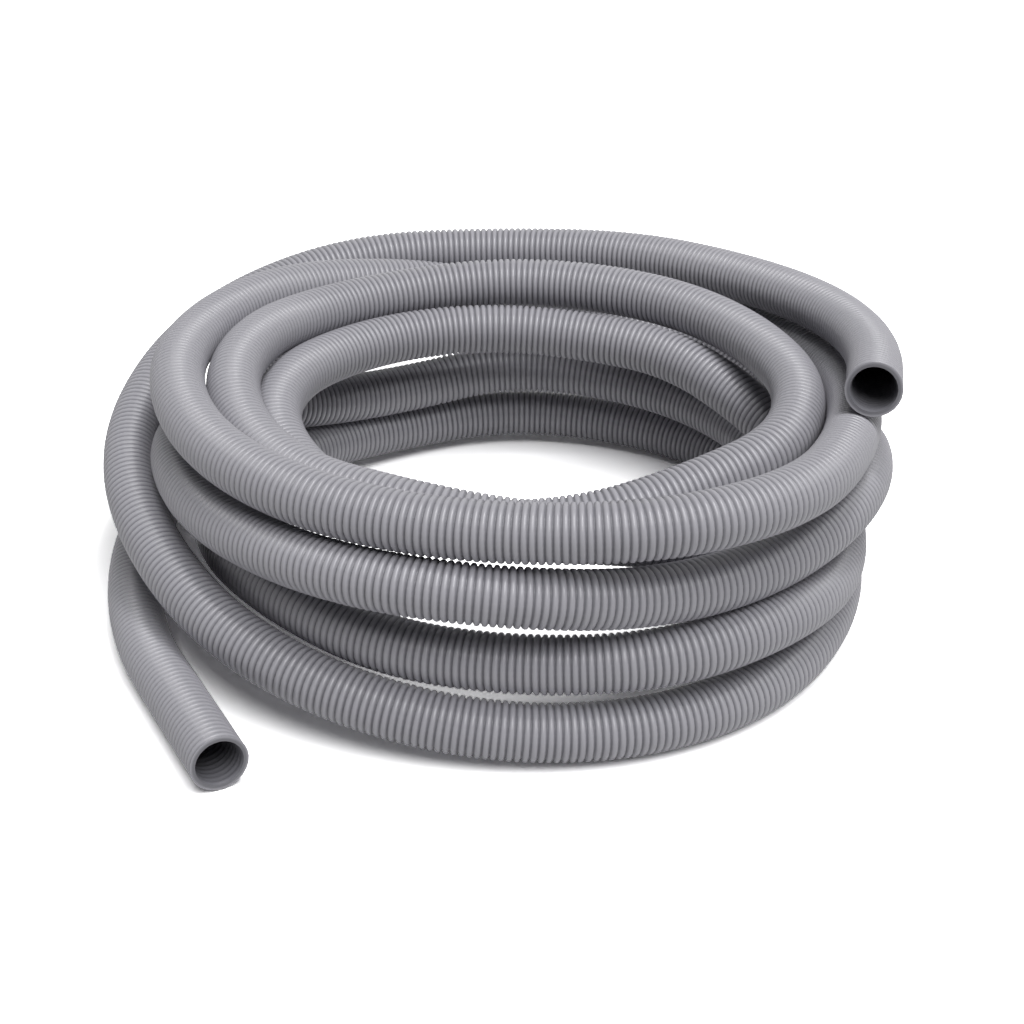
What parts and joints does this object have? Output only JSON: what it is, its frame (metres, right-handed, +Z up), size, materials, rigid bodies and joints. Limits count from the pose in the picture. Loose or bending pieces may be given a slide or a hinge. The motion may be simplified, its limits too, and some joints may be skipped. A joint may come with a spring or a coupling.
{
  "type": "corrugated conduit",
  "caption": "Loose hand-wound coil of grey corrugated flexible conduit, open at both cut ends, that protects and guides wires and cables.",
  "frame": {"origin": "middle of the coil's footprint, on the floor that it lies on", "axes": "+Z up through the eye of the coil; the upper end lies at +X and the lower end at -X, and both open towards -Y"},
  "size_m": [0.368, 0.3968, 0.1352],
  "materials": {
    "grey_pvc": "mid grey extruded PVC with a soft satin gloss"
  },
  "bodies": {
    "root": {"conduit": "grey_pvc"}
  },
  "joints": []
}
